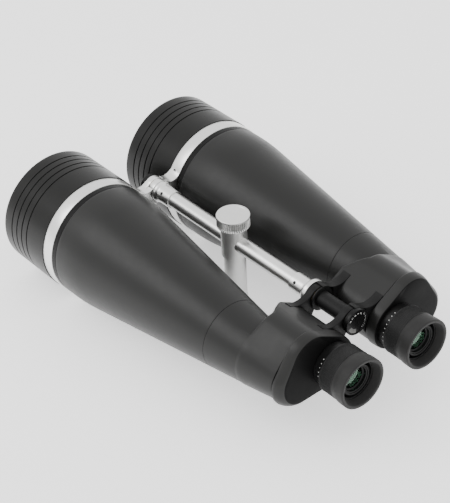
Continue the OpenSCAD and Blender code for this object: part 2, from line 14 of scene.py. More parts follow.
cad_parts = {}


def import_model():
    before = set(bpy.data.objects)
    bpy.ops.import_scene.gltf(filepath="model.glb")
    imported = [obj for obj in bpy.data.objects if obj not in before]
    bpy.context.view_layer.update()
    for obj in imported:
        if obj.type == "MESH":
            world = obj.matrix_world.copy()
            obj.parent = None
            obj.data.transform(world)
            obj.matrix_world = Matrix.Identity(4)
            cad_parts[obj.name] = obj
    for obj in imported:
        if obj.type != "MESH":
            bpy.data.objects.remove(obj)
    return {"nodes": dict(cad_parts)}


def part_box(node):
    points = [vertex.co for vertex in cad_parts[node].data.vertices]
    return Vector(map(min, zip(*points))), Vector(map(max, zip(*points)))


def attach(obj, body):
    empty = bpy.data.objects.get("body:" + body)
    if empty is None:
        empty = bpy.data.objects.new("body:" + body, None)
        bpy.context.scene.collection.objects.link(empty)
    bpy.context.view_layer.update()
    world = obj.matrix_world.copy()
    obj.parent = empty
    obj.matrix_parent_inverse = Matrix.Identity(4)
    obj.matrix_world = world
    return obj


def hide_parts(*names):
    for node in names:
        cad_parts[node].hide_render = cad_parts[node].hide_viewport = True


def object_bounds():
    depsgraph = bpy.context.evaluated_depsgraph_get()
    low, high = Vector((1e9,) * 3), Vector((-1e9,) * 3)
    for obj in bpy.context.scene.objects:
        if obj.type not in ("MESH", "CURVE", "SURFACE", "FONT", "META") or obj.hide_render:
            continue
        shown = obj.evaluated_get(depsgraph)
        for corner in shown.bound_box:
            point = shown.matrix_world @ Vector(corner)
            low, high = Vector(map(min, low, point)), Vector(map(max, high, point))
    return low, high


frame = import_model()
cad_low, cad_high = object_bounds()

MM = 0.001
SIDES = (("left", -1), ("right", 1))

# ---------- places and sizes read from the frame ----------


def box_mm(node):
    low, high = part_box(node)
    return low / MM, high / MM


shield_low, shield_high = box_mm("right_dew_shield")
FRONT_Y = shield_high.y
AXIS_Z = (shield_low.z + shield_high.z) / 2
LENS_X = (shield_low.x + shield_high.x) / 2
SHIELD_R = (shield_high.x - shield_low.x) / 2


def depths(node):
    """Front and back depth of a CAD node."""
    low, high = box_mm(node)
    return FRONT_Y - high.y, FRONT_Y - low.y


def half_width(node):
    low, high = box_mm(node)
    return (high.x - low.x) / 2


def up_of(node):
    low, high = box_mm(node)
    return (low.z + high.z) / 2 - AXIS_Z


def row(x, up, depth):
    """Row-frame point, in metres."""
    return Vector((x, FRONT_Y - depth, AXIS_Z + up)) * MM


cup_low, cup_high = box_mm("right_eyecup")
EYE_X = (cup_low.x + cup_high.x) / 2
EYE_UP = up_of("right_eyecup")
HINGE_UP = up_of("rod")
LENS = (LENS_X, 0.0)
EYE = (EYE_X, EYE_UP)
HINGE = (0.0, HINGE_UP)

SHIELD_BACK = depths("right_dew_shield")[1]
RING_BACK = depths("left_lock_ring")[0]
LOCK_BACK = depths("left_lock_ring")[1]
TUBE_BACK = depths("right_objective_tube")[1]
COVER_FRONT, COVER_BACK = depths("right_back_cover")
BASE_BACK = depths("right_eyepiece_base")[1]
FOCUS_FRONT = depths("right_focus_ring")[0]
CUP_FRONT, CUP_BACK = depths("right_eyecup")
ROD_FRONT, ROD_BACK = depths("rod")
DIAL_FRONT, DIAL_BACK = depths("ipd_dial")
NECK_R = half_width("right_lens_cell")
TUBE_R = half_width("right_lock_ring")
FOCUS_R = half_width("right_focus_ring")
CUP_R = half_width("right_eyecup")
BASE_R = half_width("right_eyepiece_base")
ROD_R = half_width("rod")
DIAL_R = half_width("ipd_dial")
KNOB_R = half_width("clamp_knob")

# ---------- sizes of the design that no box gives ----------

RING_R = 56.9
FRONT_HUB_R = 10.5
UPPER_FILLET = 11.0
LOWER_FILLET = 17.0
REAR_HUB_R = 11.4
SLEEVE_R = 9.0
SHAFT_R = 8.0
PIN_R = 5.05
HINGE_PIN_R = 6.0
TUBE_END_R = 33.5
SHOULDER_START = 90.0
SHOULDER_LEN = 28.0
SHOULDER_DROP = 2.0
WALL = 2.5
BOX_WALL = 3.0
BOX_FRONT = 287.0
SHOULDER_FRONT = 302.0
SLANT = (36.0, 56.0)
GROOVE_FIRST = 12.2
GROOVE_PITCH = 7.93
GROOVE_W = 1.3
GROOVE_CUT = 0.9
# round corners of the prism box and its cover: (x, up, radius)
BOX_CORNERS = ((LENS_X, -1.0, 18.5), (57.0, 17.0, 22.0), (EYE_X, EYE_UP, 24.0))
COVER_CORNERS = ((LENS_X + 0.6, -2.0, 23.0), (58.5, 17.5, 23.5), (EYE_X, EYE_UP, 25.0))
PLATE_CORNERS = ((67.5, 0.0, 20.0), (57.0, 17.0, 22.0), (EYE_X, EYE_UP, 24.0))
SCREW_R = 1.6
SEAT_GAP = 0.04
HUB_GAP = 0.4
GROOVE_COUNT = 4
# threaded inside of the dew shield: pitch, depth of a thread, first and last crest
BAFFLE_PITCH, BAFFLE_RISE, BAFFLE_FIRST, BAFFLE_LAST = 1.4, 0.45, 3.0, 43.0
# front and back of each front knuckle, by side
FRONT_KNUCKLES = {-1: (62.5, 68.9), 1: (69.4, 75.8)}
ARC_STEPS = 28
# crown lens and eye lens: curvature of the front and rear faces
CROWN_CURVES = (240, -180)
EYE_CURVES = (30, -40)
SLIDE_BORE_R = 10.5
SLIDE_R = 12.5
BASE_BORE_R = 12.55
STEM_R = 15
# outside of the focus ring under the eyecup, and its well round the eye lens
CUP_SEAT_R = 21
WELL_R = 17.5
HEAD_FRONT = 373.5
# knurl of the focus ring: ridges round it, pitch along it, height
KNURL_COUNT, KNURL_PITCH, KNURL_HEIGHT = 90, 1.6, 0.6
# diopter dots by side: direction of the first, how many; then their radius and the angle between them
DIOPTER_DOTS = {-1: (202, 7), 1: (212, 10)}
DOT_R, DOT_PITCH = 0.42, 11.5
DOT_FACETS = 16
# flutes of the clamp knob: count, depth, height of the plain rim
FLUTE_COUNT, FLUTE_CUT, KNOB_RIM = 46, 1.05, 1.7
SLEEVE_SCREW_TURN, SLEEVE_SCREWS = 141, (86.5, 273.5)
RING_SCREW_TURN, RING_SCREW_DEPTH = 148.6, 68.2
# dial: ticks (first direction, step, count) and numbers (first direction, step)
TICK_FIRST, TICK_STEP, TICK_COUNT = 34, 11, 9
NUMBER_FIRST, NUMBER_STEP = 150, 23
EYE_SPACINGS = range(56, 77, 5)
NUMBER_SIZE, NUMBER_IN = 2.1, 4.1
BAND_FROM, BAND_TO = 200, 262

# ---------- mesh helpers ----------


def in_scene(name, data):
    """New object of some data, put in the scene."""
    obj = bpy.data.objects.new(name, data)
    bpy.context.scene.collection.objects.link(obj)
    return obj


def add_object(name, bm, material, angle=34):
    """Object of a finished bmesh, smooth except across edges sharper than angle."""
    bmesh.ops.remove_doubles(bm, verts=bm.verts, dist=1e-7)
    bmesh.ops.recalc_face_normals(bm, faces=bm.faces)
    mesh = bpy.data.meshes.new(name)
    bm.to_mesh(mesh)
    bm.free()
    mesh.polygons.foreach_set("use_smooth", [True] * len(mesh.polygons))
    mesh.set_sharp_from_angle(angle=radians(angle))
    mesh.materials.append(material)
    return in_scene(name, mesh)


def soften(points, radius, closed=True, steps=4, support=0.12):
    """Profile with each corner rounded, and a support point beside each rounding.
    A point may carry its own radius as a third value."""
    out = []
    count = len(points)
    for i, point in enumerate(points):
        here = Vector(point[:2])
        if not closed and i in (0, count - 1):
            out.append(tuple(here))
            continue
        before = Vector(points[i - 1][:2]) - here
        after = Vector(points[(i + 1) % count][:2]) - here
        own = point[2] if len(point) > 2 else radius
        reach = min(own, 0.42 * before.length, 0.42 * after.length)
        if reach <= 0.001 or before.angle(after) > radians(172):
            out.append(tuple(here))
            continue
        start = here + before.normalized() * reach
        end = here + after.normalized() * reach
        if before.length > 4 * reach + 4 * support:
            out.append(tuple(start + before.normalized() * support))
        for k in range(steps + 1):
            t = k / steps
            out.append(tuple(start * (1 - t) ** 2 + here * 2 * t * (1 - t) + end * t ** 2))
        if after.length > 4 * reach + 4 * support:
            out.append(tuple(end + after.normalized() * support))
    return out


def skin(bm, loops, wrap_loops):
    """Quads between successive closed loops of vertices; a one-vertex loop closes to a point."""
    pairs = list(zip(loops, loops[1:]))
    if wrap_loops:
        pairs.append((loops[-1], loops[0]))
    for a, b in pairs:
        count = max(len(a), len(b))
        for i in range(count):
            j = (i + 1) % count
            corners = [a[i % len(a)], a[j % len(a)], b[j % len(b)], b[i % len(b)]]
            unique = list(dict.fromkeys(corners))
            if len(unique) > 2:
                bm.faces.new(unique)


def revolve(name, profile, place, material, segments, closed, shape=None):
    """Solid turned about an axis. The profile holds (radius, level), and place(x, y, level)
    gives a vertex. shape(radius, level, turn) may change the radius at each angle."""
    bm = bmesh.new()
    loops = []
    for radius, level in profile:
        if radius < 1e-6:
            loops.append([bm.verts.new(place(0, 0, level))])
            continue
        loop = []
        for i in range(segments):
            turn = 2 * pi * i / segments
            r = shape(radius, level, turn) if shape else radius
            loop.append(bm.verts.new(place(r * cos(turn), r * sin(turn), level)))
        loops.append(loop)
    skin(bm, loops, closed)
    return add_object(name, bm, material)


def lathe(name, profile, centre, material, segments=160, closed=True, shape=None):
    """Solid turned about the line through centre (x, up). The profile holds (radius, depth)."""
    def place(x, up, depth):
        return row(centre[0] + x, centre[1] + up, depth)

    return revolve(name, profile, place, material, segments, closed, shape)


def area(loop):
    return sum(a[0] * b[1] - b[0] * a[1] for a, b in zip(loop, loop[1:] + loop[:1])) / 2


def inset(loop, amount):
    """Loop moved to its left by amount, which is inwards on an anticlockwise loop."""
    out = []
    for i, point in enumerate(loop):
        before = Vector(point) - Vector(loop[i - 1])
        after = Vector(loop[(i + 1) % len(loop)]) - Vector(point)
        normal = Vector((-before.y, before.x)).normalized() + Vector((-after.y, after.x)).normalized()
        normal.normalize()
        out.append((point[0] + normal.x * amount, point[1] + normal.y * amount))
    return out


def plate(name, loops, front, back, bevel, material, steps=3):
    """Plate between two depths. loops[0] is the outline and the rest are holes."""
    bm = bmesh.new()
    caps = {"front": [], "back": []}
    for index, loop in enumerate(loops):
        if (area(loop) > 0) != (index == 0):
            loop = loop[::-1]
        rings = []
        for k in range(steps + 1):
            turn = pi / 2 * k / steps
            rings.append((bevel * (1 - sin(turn)), front + bevel * (1 - cos(turn))))
        rings += [(amount, back - (depth - front)) for amount, depth in reversed(rings)]
        skinned = []
        for amount, depth in rings:
            skinned.append([bm.verts.new(row(x, up, depth)) for x, up in inset(loop, amount)])
        skin(bm, skinned, False)
        caps["front"].append(skinned[0])
        caps["back"].append(skinned[-1])
    for cap in caps.values():
        flat = [vert for loop in cap for vert in loop]
        for triangle in tessellate_polygon([[Vector((v.co.x, v.co.z, 0)) for v in loop] for loop in cap]):
            bm.faces.new([flat[i] for i in triangle])
    return add_object(name, bm, material)


def circle(centre, radius, start=0.0, end=360.0, count=96):
    """Points of an arc from start to end, in degrees."""
    return [(centre[0] + radius * cos(radians(start + (end - start) * i / count)),
             centre[1] + radius * sin(radians(start + (end - start) * i / count)))
            for i in range(count + (end - start != 360.0))]


def mirrored(points, side):
    return [(side * p[0],) + tuple(p[1:]) for p in points]


def tangent_circle(a, ra, b, rb, radius, above):
    """Centre of the circle of that radius that touches circles a and b from outside."""
    a, b = Vector(a), Vector(b)
    across = b - a
    d = across.length
    p, q = ra + radius, rb + radius
    along = (d * d + p * p - q * q) / (2 * d)
    rise = sqrt(max(p * p - along * along, 0))
    normal = Vector((-across.y, across.x)) / d
    if (normal.y > 0) != above:
        normal = -normal
    return tuple(a + across / d * along + normal * rise)


def angle_to(a, b):
    return degrees(atan2(b[1] - a[1], b[0] - a[0]))


# ---------- materials ----------


def set_inputs(node, **values):
    for socket, value in values.items():
        node.inputs[socket.replace("_", " ")].default_value = value


class Shader:
    """Short hand for building one node material."""

    def __init__(self, name, color, roughness, metallic=0.0, **sockets):
        self.material = bpy.data.materials.new(name)
        self.material.use_nodes = True
        self.material.diffuse_color = (*color, 1)
        self.nodes = self.material.node_tree.nodes
        self.links = self.material.node_tree.links
        self.bsdf = self.nodes["Principled BSDF"]
        self.color = color
        set_inputs(self.bsdf, Base_Color=(*color, 1), Roughness=roughness, Metallic=metallic, **sockets)
        self.coords = self.nodes.new("ShaderNodeTexCoord")
        self.height = None

    def stretched(self, scale):
        mapping = self.nodes.new("ShaderNodeMapping")
        set_inputs(mapping, Scale=scale)
        self.links.new(self.coords.outputs["Object"], mapping.inputs["Vector"])
        return mapping.outputs["Vector"]

    def noise(self, size_mm, detail=3.0, stretch=(1, 1, 1)):
        """Noise whose features are about size_mm across."""
        node = self.nodes.new("ShaderNodeTexNoise")
        set_inputs(node, Scale=1, Detail=detail)
        scale = 1 / (size_mm * MM)
        self.links.new(self.stretched(tuple(scale * s for s in stretch)), node.inputs["Vector"])
        return node.outputs["Fac"]

    def between(self, fac, low, high):
        node = self.nodes.new("ShaderNodeMapRange")
        set_inputs(node, From_Min=0.25, From_Max=0.75, To_Min=low, To_Max=high)
        self.links.new(fac, node.inputs["Value"])
        return node.outputs["Result"]

    def tone(self, fac, spread):
        """Base colour that varies in brightness by spread either way."""
        ramp = self.nodes.new("ShaderNodeValToRGB")
        ramp.color_ramp.elements[0].position = 0.25
        ramp.color_ramp.elements[1].position = 0.75
        ramp.color_ramp.elements[0].color = (*[c * (1 - spread) for c in self.color], 1)
        ramp.color_ramp.elements[1].color = (*[c * (1 + spread) for c in self.color], 1)
        self.links.new(fac, ramp.inputs["Fac"])
        self.links.new(ramp.outputs["Color"], self.bsdf.inputs["Base Color"])
        return self

    def rough(self, fac, low, high):
        self.links.new(self.between(fac, low, high), self.bsdf.inputs["Roughness"])
        return self

    def bump(self, fac, depth_mm, strength=1.0):
        node = self.nodes.new("ShaderNodeBump")
        set_inputs(node, Strength=strength, Distance=depth_mm * MM)
        self.links.new(fac, node.inputs["Height"])
        if self.height:
            self.links.new(self.height, node.inputs["Normal"])
        self.height = node.outputs["Normal"]
        self.links.new(self.height, self.bsdf.inputs["Normal"])
        return self


def varied(name, color, roughness, tone, rough, bump, metallic=0.0, **sockets):
    """Material that varies a little. tone is (size, detail, spread), rough is (size, detail,
    low, high) and bump is (size, detail, depth), with sizes and depth in millimetres."""
    s = Shader(name, color, roughness, metallic, **sockets)
    s.tone(s.noise(*tone[:2]), tone[2]).rough(s.noise(*rough[:2]), *rough[2:])
    return s.bump(s.noise(*bump[:2]), bump[2]).material


def grained(name, color, roughness, tone, grain, low, high, depth):
    """Metal with a directional grain (size, detail, stretch) in its roughness and surface."""
    s = Shader(name, color, roughness, 1.0)
    fac = s.noise(*grain)
    s.tone(s.noise(*tone[:2]), tone[2]).rough(fac, low, high)
    return s.bump(fac, depth).material


def turned_aluminium():
    """Aluminium with the fine rings that a lathe leaves on a face."""
    s = Shader("turned_aluminium", (0.74, 0.74, 0.73), 0.34, 1.0)
    wave = s.nodes.new("ShaderNodeTexWave")
    wave.wave_type = "RINGS"
    wave.rings_direction = "Z"
    set_inputs(wave, Scale=700, Distortion=0.4)
    s.links.new(s.coords.outputs["Object"], wave.inputs["Vector"])
    s.rough(wave.outputs["Fac"], 0.3, 0.38)
    s.tone(s.noise(5, 3), 0.03)
    return s.bump(wave.outputs["Fac"], 0.004).material


def coated_glass(name, body, tint, coat=0.5):
    """Clear glass with a coloured reflection from its coating."""
    s = Shader(name, body, 0.02, Transmission_Weight=1.0, IOR=1.52, Coat_Weight=coat, Coat_Roughness=0.02,
               Coat_Tint=(*tint, 1), Specular_Tint=(*tint, 1))
    return s.rough(s.noise(14, 2), 0.012, 0.03).bump(s.noise(20, 1), 0.002).material


paint = varied("barrel_satin_charcoal", (0.0105, 0.0105, 0.0100), 0.38, (24, 2, 0.05), (5, 3, 0.35, 0.41),
               (0.5, 2, 0.004), Specular_IOR_Level=0.27)
# darker, less glossy copy of the barrel paint for the cover's flat rear face: painted shade for a face that
# gets no light from behind
rear_face_shade_black = varied("rear_face_painted_shade", (0.004, 0.004, 0.004), 0.45, (9, 2, 0.08), (4, 3, 0.42, 0.5),
                     (0.5, 2, 0.005), Specular_IOR_Level=0.06)
black_shield = varied("shield_anodised_black", (0.006, 0.006, 0.0055), 0.3, (12, 2, 0.08),
                      (3, 3, 0.27, 0.33), (0.4, 2, 0.004), Specular_IOR_Level=0.2)
black_collar = varied("lock_collar_black", (0.004, 0.004, 0.004), 0.35, (12, 2, 0.08), (3, 3, 0.32, 0.4),
                      (0.4, 2, 0.004), Specular_IOR_Level=0.13)
black_inside = varied("inside_flat_black", (0.006, 0.006, 0.006), 0.75, (6, 3, 0.15), (2, 3, 0.68, 0.8),
                      (0.5, 3, 0.02), Specular_IOR_Level=0.2)
black_hinge = varied("hinge_semi_matt_black", (0.006, 0.006, 0.006), 0.45, (5, 3, 0.12),
                     (1.5, 3, 0.43, 0.54), (0.55, 3, 0.012), Specular_IOR_Level=0.17)
aluminium = grained("satin_anodised_aluminium", (0.80, 0.80, 0.79), 0.3, (14, 2, 0.025),
                    (0.9, 4, (1, 6, 1)), 0.26, 0.36, 0.0025)
aluminium_post = grained("post_satin_aluminium", (0.66, 0.66, 0.65), 0.46, (10, 2, 0.03),
                         (0.8, 4, (1, 1, 5)), 0.42, 0.52, 0.003)
aluminium_turned = turned_aluminium()
black_eyepiece = varied("eyepiece_satin_black", (0.006, 0.006, 0.006), 0.4, (5, 3, 0.1),
                        (1.5, 3, 0.36, 0.46), (0.4, 2, 0.005), Specular_IOR_Level=0.18)
black_knurl = varied("knurled_black", (0.008, 0.008, 0.008), 0.42, (3, 3, 0.14), (1, 3, 0.4, 0.54),
                     (0.3, 2, 0.006), Specular_IOR_Level=0.25)
rubber = varied("eyecup_rubber", (0.012, 0.0118, 0.0115), 0.5, (7, 3, 0.1), (2, 3, 0.5, 0.62),
                (0.35, 3, 0.012), Specular_IOR_Level=0.25, Sheen_Weight=0.05, Sheen_Roughness=0.5)
black_dial = varied("dial_gloss_black", (0.005, 0.005, 0.005), 0.24, (4, 2, 0.1), (2, 3, 0.2, 0.28),
                    (1, 2, 0.002), Specular_IOR_Level=0.15)
white = varied("white_print", (0.72, 0.72, 0.70), 0.5, (0.5, 3, 0.1), (0.5, 2, 0.44, 0.56), (0.2, 2, 0.004))
grey_print = varied("light_grey_print", (0.13, 0.13, 0.125), 0.5, (1.2, 3, 0.25), (0.5, 2, 0.44, 0.56),
                    (0.2, 2, 0.004))
screw_black = varied("screw_black_oxide", (0.012, 0.012, 0.012), 0.5, (1, 3, 0.2), (0.6, 3, 0.36, 0.5),
                     (0.3, 3, 0.006), Specular_IOR_Level=0.2)
steel = grained("machined_steel", (0.56, 0.56, 0.57), 0.32, (4, 3, 0.06),
                (0.6, 3, (1, 1, 6)), 0.26, 0.4, 0.004)
cast = varied("cast_aluminium", (0.34, 0.34, 0.35), 0.55, (3, 4, 0.12), (1, 3, 0.48, 0.64),
              (0.7, 4, 0.03), 0.9)
brass = varied("washer_brass", (0.74, 0.53, 0.24), 0.35, (2, 3, 0.08), (1, 3, 0.3, 0.42),
               (0.4, 2, 0.004), 1.0)
nylon = varied("pad_nylon", (0.72, 0.70, 0.62), 0.5, (2, 3, 0.05), (1, 2, 0.44, 0.56), (0.4, 2, 0.006),
               Subsurface_Weight=0.1)
green_glass = coated_glass("objective_glass", (0.92, 0.97, 0.95), (0.45, 0.9, 0.6))
eye_glass = coated_glass("eyepiece_glass", (0.42, 0.44, 0.43), (0.45, 0.9, 0.62), 0.35)
field_glass = coated_glass("field_lens_glass", (0.5, 0.46, 0.44), (1.0, 0.5, 0.36), 0.3)
prism_glass = coated_glass("prism_glass", (0.9, 0.95, 0.97), (0.8, 0.9, 1.0))


def piece(obj, body, slot, *nodes):
    """Files a finished piece under its body and hides the CAD nodes it stands for. The slot is not used."""
    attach(obj, body)
    if nodes:
        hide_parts(*nodes)
    return obj


def turned(node, points, centre, material, body, slot, **options):
    """Turned piece that stands for one CAD node."""
    piece(lathe(f"{node}_fine", points, centre, material, **options), body, slot, node)


# ---------- front end of a barrel ----------


def dew_shield(side, s):
    mouth_r = NECK_R + 0.9
    lip = [(mouth_r, 0.0, 0.4), (SHIELD_R - 0.1, 0.0, 0.9), (SHIELD_R, 3.0)]
    grooves = []
    for i in range(GROOVE_COUNT):
        d = GROOVE_FIRST + i * GROOVE_PITCH
        for r, edge in ((0, -1), (GROOVE_CUT, -1), (GROOVE_CUT, 1), (0, 1)):
            grooves.append((SHIELD_R - r, d + edge * GROOVE_W / 2, 0.25))
    back = [(SHIELD_R, SHIELD_BACK, 0.15), (NECK_R + SEAT_GAP, SHIELD_BACK), (NECK_R + SEAT_GAP, 44.0)]
    outside = soften(lip + grooves + back, 0.2)
    ridges = []
    for i in range(int((BAFFLE_LAST - BAFFLE_FIRST) / BAFFLE_PITCH), -1, -1):
        crest = BAFFLE_FIRST + i * BAFFLE_PITCH
        ridges += [(mouth_r, crest + 0.5), (mouth_r + BAFFLE_RISE, crest)]
    turned(f"{side}_dew_shield", outside + ridges, (s * LENS_X, 0), black_shield,
           f"{side}_barrel", "shield_black", segments=192)


def lock_ring(side, s):
    profile = [(NECK_R + SEAT_GAP, RING_BACK), (TUBE_R - 0.1, RING_BACK, 0.5), (TUBE_R, RING_BACK + 1, 0.2),
               (TUBE_R, LOCK_BACK, 0.7), (NECK_R + SEAT_GAP, LOCK_BACK)]
    turned(f"{side}_lock_ring", soften(profile, 0.2), (s * LENS_X, 0), black_collar,
           f"{side}_barrel", "shield_black", segments=192)


def tube_radius(depth):
    """Outside radius of the tube and the housing cone at a depth."""
    end = SHOULDER_START + SHOULDER_LEN
    slope = (TUBE_R - SHOULDER_DROP - TUBE_END_R) / (TUBE_BACK - end)
    if depth <= SHOULDER_START:
        return TUBE_R
    if depth >= end:
        return TUBE_R - SHOULDER_DROP - slope * (depth - end)
    return TUBE_R - SHOULDER_DROP * ((depth - SHOULDER_START) / SHOULDER_LEN) ** 2


def objective_tube(side, s):
    front = depths(f"{side}_objective_tube")[0]
    stations = [LOCK_BACK + 0.6 + i * 3 for i in range(62)]
    outer = [(tube_radius(d), d) for d in stations if d < TUBE_BACK - 1.5]
    profile = [(NECK_R - WALL, front, 0.3), (NECK_R, front, 0.3), (NECK_R, LOCK_BACK, 0.05),
               (TUBE_R - 0.1, LOCK_BACK, 0.5)] + outer
    profile += [(tube_radius(TUBE_BACK) + 0.02, TUBE_BACK - 0.05, 0.25)]
    profile += [(r - WALL, d) for r, d in reversed(outer)] + [(NECK_R - WALL, LOCK_BACK - 1)]
    turned(f"{side}_objective_tube", soften(profile, 0.0), (s * LENS_X, 0), paint,
           f"{side}_barrel", "barrel_paint", segments=192)


def lens_face(vertex, radius, reach, steps=12):
    """Profile of a round lens face, from its middle out."""
    out = []
    for i in range(steps + 1):
        r = reach * i / steps
        out.append((r, vertex + copysign(abs(radius) - sqrt(radius * radius - r * r), radius)))
    return out


def crown_lens(side, s):
    front, back = depths(f"{side}_crown_lens")
    reach = half_width(f"{side}_crown_lens")
    # the rear face bulges backwards, so its middle is the lens's rearmost point
    profile = lens_face(front, CROWN_CURVES[0], reach) + lens_face(back, CROWN_CURVES[1], reach)[::-1]
    turned(f"{side}_crown_lens", profile, (s * LENS_X, 0), green_glass,
           f"{side}_barrel", "coated_glass", segments=128, closed=False)


# ---------- front rings and arms ----------


def front_ring(side, s):
    """Bright ring whose arm clears the hinge, and the knuckle of that arm round the hinge pin."""
    hub_gap = FRONT_HUB_R + HUB_GAP
    upper = tangent_circle(HINGE, FRONT_HUB_R, LENS, RING_R, UPPER_FILLET, True)
    lower = tangent_circle(HINGE, FRONT_HUB_R, LENS, RING_R, LOWER_FILLET, False)
    ring_arc = circle(LENS, RING_R, angle_to(LENS, lower) % 360, angle_to(LENS, upper) + 360, 200)
    upper_arc = circle(upper, UPPER_FILLET, angle_to(upper, LENS) % 360, angle_to(upper, HINGE) % 360,
                       ARC_STEPS)
    hub_from = angle_to(lower, HINGE) % 360
    ring_to = angle_to(lower, LENS) % 360
    if ring_to > hub_from:
        ring_to -= 360
    lower_arc = circle(lower, LOWER_FILLET, hub_from, ring_to, ARC_STEPS)
    outside_hub = [p for p in upper_arc[1:] if dist(p, HINGE) > hub_gap]
    below_hub = [p for p in lower_arc[:-1] if dist(p, HINGE) > hub_gap]
    gap_arc = circle(HINGE, hub_gap, angle_to(HINGE, outside_hub[-1]), angle_to(HINGE, below_hub[0]), 24)
    outline = ring_arc + outside_hub + gap_arc + below_hub
    bore = circle(LENS, NECK_R + SEAT_GAP, count=192)
    ring = plate(f"{side}_front_ring_fine", [mirrored(outline, s), mirrored(bore, s)], SHIELD_BACK, RING_BACK,
                 0.3, aluminium)
    front, back = FRONT_KNUCKLES[s]
    overlap = [p for p in inset(upper_arc[::-1], -SEAT_GAP) if dist(p, HINGE) < hub_gap + 3]
    under = [p for p in inset(lower_arc, SEAT_GAP) if dist(p, HINGE) < hub_gap + 3]
    hub_arc = circle(HINGE, FRONT_HUB_R, angle_to(HINGE, upper), angle_to(HINGE, lower) + 360, 72)
    knuckle_outline = hub_arc + under[1:] + overlap[:-1]
    pin = circle(HINGE, PIN_R, count=64)
    knuckle = plate(f"{side}_front_knuckle", [mirrored(knuckle_outline, s), mirrored(pin, s)], front, back,
                    0.5, aluminium)
    piece(ring, f"{side}_barrel", "bright_aluminium", f"{side}_front_ring")
    piece(knuckle, f"{side}_barrel", "bright_aluminium")


# ---------- prism box ----------


def after(a, b):
    return b + 360 if b < a else b


def corner_outline(corners, grow=0.0, steps=24):
    """Outline round three round corners (x, up, radius), anticlockwise."""
    turns = []
    for p, q in zip(corners, corners[1:] + corners[:1]):
        across = dist(p[:2], q[:2])
        turns.append(angle_to(p, q) - degrees(acos((p[2] - q[2]) / across)))
    out = []
    for i, (x, up, r) in enumerate(corners):
        start = turns[i - 1]
        end = after(start, turns[i])
        if end - start > 360:
            end -= 360
        out += circle((x, up), r + grow, start, end, steps)
    return out


def reach_of(outline, centre, turn):
    """Distance from centre to the outline in one direction."""
    ray = Vector((cos(turn), sin(turn)))
    best = 0.0
    for a, b in zip(outline, outline[1:] + outline[:1]):
        a, b = Vector(a) - Vector(centre), Vector(b) - Vector(centre)
        edge = b - a
        cross = ray.x * edge.y - ray.y * edge.x
        if abs(cross) < 1e-9:
            continue
        along = (a.x * edge.y - a.y * edge.x) / cross
        share = (a.x * ray.y - a.y * ray.x) / cross
        if along > 0 and -1e-6 <= share <= 1 + 1e-6:
            best = max(best, along)
    return best


def circle_reach(centre, middle, radius, turn, far=True):
    """Distance from middle to the far or near side of a circle about centre in one direction."""
    dx, dy = middle[0] - centre[0], middle[1] - centre[1]
    along = dx * cos(turn) + dy * sin(turn)
    half_chord = sqrt(max(along * along - dx * dx - dy * dy + radius * radius, 0))
    return -along + half_chord if far else -along - half_chord


# points that the sections of the housing and the cover turn about, and their number of points
HOUSING_MIDDLE = (62.0, 4.0)
COVER_MIDDLE = (58.0, 4.0)
HOUSING_TURNS = 200
EDGE_ROUND = 3.2
EDGE_STEPS = 7
SIDE_STEPS = 11
COVER_HOLE_R = 15.1
FLAT_START = 10.7


def loft(name, sections, material):
    """Closed shell through sections, each a list of points in the row frame."""
    bm = bmesh.new()
    loops = [[bm.verts.new(p) for p in section] for section in sections]
    skin(bm, loops, True)
    return add_object(name, bm, material)


def uneven_section(s, middle, section):
    """Section whose points carry their own reach and depth."""
    out = []
    for i, (reach, depth) in enumerate(section):
        turn = 2 * pi * i / len(section)
        out.append(row(s * (middle[0] + reach * cos(turn)), middle[1] + reach * sin(turn), depth))
    return out


def radial_section(s, middle, reaches, depth):
    """Section at one depth, from its reach in each direction."""
    return uneven_section(s, middle, [(reach, depth) for reach in reaches])


